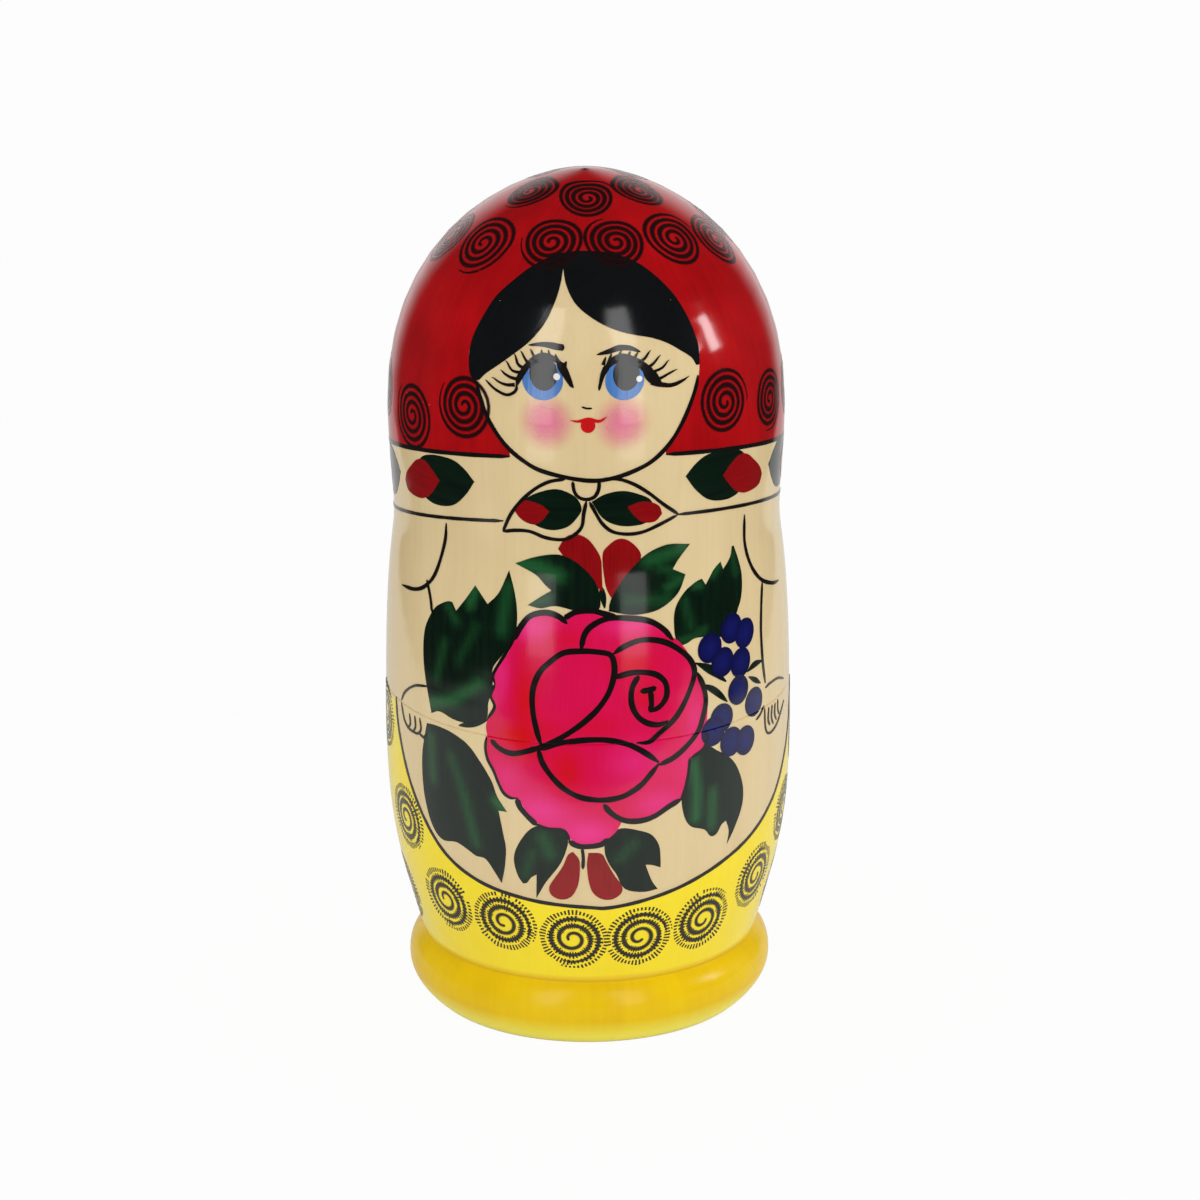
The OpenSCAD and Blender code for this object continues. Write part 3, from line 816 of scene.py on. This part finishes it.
ROSE_LINES = [
    [(-14.5, 86.5), (-13, 89.3), (-11, 91.7), (-8, 92.6), (-5.5, 92), (-3.8, 90.6)],
    [(-4.5, 91.6), (-2, 93), (1, 93.2), (4, 92.3), (6, 91.5)],
    [(-1.2, 85.5), (-0.5, 88.5), (1, 90.3), (4, 91.6), (8, 91.4), (12, 90.5), (15, 88.5), (17, 86)],
    [(5, 84.5), (7, 85.8), (10, 86.8), (13, 86.6), (16, 85.5), (19, 83.3), (21, 81), (21.7, 78.5), (20.5, 75),
     (18.5, 71.5), (16.5, 69.3), (14, 67.5), (12, 66), (9.5, 66.1)],
    [(5, 79.7), (9, 80.5), (13, 79.8), (15.3, 77.8), (15.6, 75), (14.2, 73), (12, 72.2)],
    [(10, 79.8), (8.7, 77.5), (8.5, 74.5), (9.5, 71.8), (11.5, 70), (14, 69.3), (16, 69.8)],
    [(10.2, 76.5), (12.5, 76.7), (13.5, 77)], [(12.3, 76.5), (12.5, 73.5), (12, 72.3)],
    [(-9, 65.5), (-10, 69), (-10.7, 73), (-10.6, 77), (-9.3, 80.5), (-7, 83), (-4.5, 84.8), (-1, 85.2), (2, 85),
     (4.5, 84.3), (5.2, 82), (5, 79.5), (4, 76.5), (2, 73.5), (-0.5, 71), (-3, 69), (-5.5, 67.3), (-8, 66),
     (-10, 65.3)],
    [(-9.5, 64.8), (-6, 66.2), (-2, 67), (2, 67.2), (5, 66.8), (8, 65.8), (11, 64), (14, 61.5)],
    [(-9.7, 65.3), (-9, 62.5), (-7.5, 60), (-5, 57.3), (-2, 55.5), (1, 54.8), (4, 54.7), (7, 55.3), (10, 57),
     (12, 59), (14, 61.3)],
    [(-19.5, 65.5), (-17.5, 64), (-15, 63.4), (-12, 64.2), (-9.5, 65.2)],
    [(14, 61), (17, 62), (20, 64), (22.5, 66.5), (23.7, 69.5), (24.3, 72.5), (23.7, 75.5), (22.3, 78.5)],
    [(3, 53.8), (4.5, 51.8), (7, 50.2), (10, 49.8), (13, 50.4), (16, 52), (18.8, 53.2)],
    [(-14, 54.2), (-13.5, 52.5), (-12, 50.8), (-10, 49)], [(-3.8, 46), (-2, 45), (0, 44.9), (2.5, 45.3), (4, 46.5)]]
PETAL_LINE, EDGE_LINE = 1.15, 0.65
for path in ROSE_LINES:
    bouquet.stroke(ink, path, PETAL_LINE, LINE, taper=(0.06, 0.1))
SCALLOPS = [
    [(-18.5, 77), (-19.4, 74.6), (-18.6, 72.4), (-20.2, 69.6)],
    [(23.8, 66.2), (24.9, 64.6), (23.5, 62.5), (20.8, 61.3)], [(-1.2, 44.5), (-1, 42.4), (-1.1, 40)],
    [(-14.3, 86.8), (-16.4, 83.2), (-18, 80.6), (-18.9, 78.6), (-18.4, 77)],
    [(-20.4, 66), (-20.7, 63.6), (-20.2, 61.3), (-19, 59.3), (-17.9, 56.8), (-16.8, 54.9), (-15.3, 54.1),
     (-13.9, 54.3)],
    [(-10.2, 49.2), (-8, 48.5), (-5.2, 48.4), (-4.2, 47.6), (-3.6, 46)],
    [(20.6, 61.4), (20.2, 58), (19.4, 54.8), (18.6, 53)]]
for path in SCALLOPS:
    bouquet.stroke(ink, path, EDGE_LINE, LINE, taper=(0.1, 0.15), step=0.5, smallest=6)
berry_blue = paint("berry_blue", (11, 13, 72), (5, 7, 46), streaks=0.6, washed=[(17, 23, 98)])
BERRIES = [
    (31, 85.4), (25.4, 82.8), (34.9, 83.4), (28.6, 79.2), (33.6, 77.8), (32.9, 72.4), (37.8, 68.5), (28.3, 67.8),
    (26.1, 65.6), (30.8, 62.3), (34.9, 61.4)]
for i, (u, v) in enumerate(BERRIES):
    bouquet.fill(berry_blue, oval(u, v, 2.9, 3.0), SECOND + 0.004 * i, grid=1.6, wash=soft_dab(u, v, 3.2))
bouquet.lay()

# Skirt. Below the drawn edge of the apron, and all round the back up to the seam, the wood is dyed yellow;
# a row of black spirals follows the edge, and the bead of the foot is a deeper yellow.
# The skirt's washed colour is painted shade: the yellow darkens in the crease just above the bead.
yellow_dye_with_crease_shade = paint("skirt_yellow_with_painted_crease_shade", (255, 232, 30), (250, 220, 12), streaks=0.3, length=0.5, fineness=6,
                   washed=[(222, 176, 4)])
# The bead's washed colour is painted light: its lower part is lighter, standing for light thrown up from the table.
bead_dye_with_painted_light = paint("bead_yellow_with_painted_underlight", (243, 204, 0), (228, 184, 0), streaks=0.3, mottle=0.5, length=0.5, fineness=6,
                 washed=[(255, 243, 80)], gloss=LACQUER | {"Roughness": 0.24, "Specular IOR Level": 0.25})
skirt_ink = paint("spiral_ink_on_yellow", (20, 16, 11), (44, 36, 16), streaks=0.7, thin=0.96)
tick_ink = paint("tick_ink_on_yellow", (30, 25, 13), (56, 48, 18), streaks=0.7)
FOOT_EDGE, CREASE, CREASE_LAP = 0.3, 13.5, 0.15
APRON_LINE = 0.75
APRON = [
    (-49, SEAM), (-47.5, 60), (-42, 50), (-33, 40), (-23.7, 35), (-12, 32.5), (0, 31.4), (4, 31.2), (12, 32.5),
    (21.9, 35), (36, 40), (45, 45), (50.6, 50), (57, 58), (61, SEAM)]
skirt = Painting("skirt")
apron = on_belt(flowing(APRON, step=1.2))
back = [(math.pi * BELT, v) for v in (CREASE, 20, 30, 40, 50, 60, SEAM)]
dyed = ([(x, CREASE) for x in (math.pi * BELT * (i / 50 - 1) for i in range(100))] + back + apron[::-1]
        + [(-x, v) for x, v in back[::-1]][:-1])
# Painted shade in the crease: the yellow turns darker over the last 1.8 mm above the bead.
skirt.fill(yellow_dye_with_crease_shade, dyed, GROUND, belt=True, grid=CLOTH_GRID,
           wash=lambda x, y: max(0.0, 1 - (y - CREASE) / 1.8))
# Painted light on the bead: lighter over its lowest 6 mm, as if lit from the table below.
skirt.fill(bead_dye_with_painted_light, band(FOOT_EDGE, CREASE + CREASE_LAP, 50), GROUND - 0.01, belt=True, grid=(CLOTH_GRID, 0.4),
           wash=lambda x, y: max(0.0, min(1.0, (6.2 - y) / 4.2)))
skirt.stroke(ink, APRON, APRON_LINE, LINE, taper=(0.02, 0.02))
SKIRT_SPIRALS = [
    (-57, 60), (-45, 42), (-31.8, 27.8), (-17.3, 26.3), (-3.2, 24), (10, 23.8), (24, 25), (40, 30), (54, 40),
    (64, 54)]
SKIRT_SPIRALS += [(angle * 36.5, 24) for angle in (1.48, 1.87, 2.26, 2.65, 3.04, -2.85, -2.47, -2.1, -1.74, -1.38)]
SKIRT_REACH, SKIRT_TURNS, SKIRT_EYE = 5.6, 2.9, 0.7
RING_REACH, RING_GROWTH, RING_TURNS, RING_STEPS = 5.7, 1.1, 1.1, 116
for u, v in SKIRT_SPIRALS:
    start = rng.uniform(0, 6)
    skirt.stroke(skirt_ink, spiral(SKIRT_REACH, SKIRT_TURNS, start, SKIRT_EYE), (0.8, 1.05, 1.1, 1.05, 0.9), SECOND,
                 at=(u, v), taper=(0.02, 0.08), smallest=6, soft=True)
    fringe = spiral(SKIRT_REACH, SKIRT_TURNS, start, SKIRT_EYE, per_turn=80)[84:]
    last = start - math.tau * SKIRT_TURNS
    ring = [(r * math.cos(a), r * math.sin(a)) for r, a in
            ((RING_REACH + RING_GROWTH * i / RING_STEPS, last + math.tau * (0.1 - RING_TURNS * i / RING_STEPS))
             for i in range(RING_STEPS + 1))]
    for path, width in ((fringe, (1.2, 1.4, 1.5)), (ring, (1.3, 1.1, 0.9, 0.7))):
        skirt.stroke(tick_ink, path, width, SECOND - 0.01, at=(u, v), taper=(0.05, 0.15), smallest=4, wobble=0.2,
                     comb=True)
skirt.lay()

# Table and light. A pale table top in a white room, seen from a little above. Two upright strip lamps, each
# dimmer at its foot, stand before the doll, two soft lamps light its sides, and a small one its right cheek.
CAMERA_BACK, CAMERA_HIGH, CAMERA_ASIDE = 1.404, 0.5967, 0.0025
CAMERA_PITCH, CAMERA_ROLL, LENS = 20.16, -0.30, 227.8
TABLE_WIDE, TABLE_FRONT, TABLE_BACK = 0.47, 0.17, 1.4
table = bmesh.new()
bmesh.ops.create_grid(table, x_segments=4, y_segments=8, size=0.5)
bmesh.ops.scale(table, verts=table.verts[:], vec=(TABLE_WIDE, TABLE_FRONT + TABLE_BACK, 1))
bmesh.ops.translate(table, verts=table.verts[:], vec=(0, (TABLE_BACK - TABLE_FRONT) / 2, 0))
mesh = bpy.data.meshes.new("table")
table.to_mesh(mesh)
table.free()
top = Finish("table_white", {"Base Color": srgb(238, 238, 236), "Roughness": 0.6})
glow = top.node("Emission", {}, {"Color": (1, 1, 1, 1), "Strength": 1.0})
camera, mirrored, through = (top.node("LightPath", {}, {}, "Is %s Ray" % ray)
                             for ray in ("Camera", "Glossy", "Transmission"))
seen = camera * 0.95 + (mirrored + through) * 0.2
mixed = top.node("MixShader", {}, {0: seen, 1: Shade(top, top.shader.outputs[0]), 2: glow})
top.give(top.tree.nodes["Material Output"], {"Surface": mixed})
mesh.materials.append(top.material)
floor = put("table", mesh)


class Room(Finish):
    """The white room, whose light is made of nodes like a finish."""

    def __init__(self, name):
        self.world = bpy.data.worlds.new(name)
        self.world.use_nodes = True
        self.tree = self.world.node_tree
        self.shader = self.tree.nodes["Background"]


ROOM_LIGHT = 0.52
BEHIND = {"From Min": 0.72, "From Max": 0.96, "To Min": 0.04, "To Max": 1.0}
room = Room("room")
bpy.context.scene.world = room.world
towards_back = room.node("SeparateXYZ", {}, {0: room.node("TexCoord", {}, {})}, "Y")
behind = room.node("MapRange", {"interpolation_type": "SMOOTHSTEP"}, BEHIND | {"Value": towards_back})
camera, mirrored = (room.node("LightPath", {}, {}, "Is %s Ray" % ray) for ray in ("Camera", "Glossy"))
lit = room.node("Mix", {}, {0: mirrored, 2: ROOM_LIGHT, 3: behind})
shown = room.node("Mix", {}, {0: camera, 2: lit, 3: 1.0})
room.give(room.shader, {"Color": (1, 1, 1, 1), "Strength": shown})


def soft_lamp(name, wide, tall, power):
    data = bpy.data.lights.new(name, "AREA")
    data.shape, data.size, data.size_y, data.energy = "RECTANGLE", wide, tall, power
    return put(name, data)


LAMP_AWAY, LAMP_TILT = 1.3, math.radians(90 - 20)
for name, around, wide, low, high, power, mirrored in (("strip_lamp", 26, 0.34, 0, 1.4, 4.96, True),
                                                       ("strip_lamp_foot", 26, 0.34, -0.27, 0, 0.5, True),
                                                       ("side_lamp", 112, 0.6, -0.2, 0.5, 3.0, False)):
    for side in (-1, 1):
        lamp = soft_lamp(name, wide, high - low, power)
        turn = math.radians(around * side)
        lamp.location = (LAMP_AWAY * math.sin(turn), -LAMP_AWAY * math.cos(turn), (low + high) / 2)
        lamp.rotation_euler = (LAMP_TILT, 0, turn)
        lamp.visible_glossy = mirrored

lamp = soft_lamp("small_lamp", 0.16, 0.34, 2.0)
towards, SMALL_LAMP_AWAY, HEAD_HIGH = Vector((0.951, -0.058, 0.302)), 1.2, 0.14
lamp.location = towards * SMALL_LAMP_AWAY + Vector((0, 0, HEAD_HIGH))
lamp.rotation_euler = towards.to_track_quat("Z", "Y").to_euler()

eye = put("camera", bpy.data.cameras.new("camera"))
eye.data.lens, eye.data.sensor_width, eye.data.clip_start = LENS, 36, 0.01
turned = Matrix.Rotation(math.radians(90 - CAMERA_PITCH), 4, "X") @ Matrix.Rotation(math.radians(CAMERA_ROLL), 4, "Z")
eye.matrix_world = Matrix.Translation((CAMERA_ASIDE, -CAMERA_BACK, CAMERA_HIGH)) @ turned
bpy.context.scene.camera = eye
bpy.context.scene.view_settings.view_transform = "Standard"
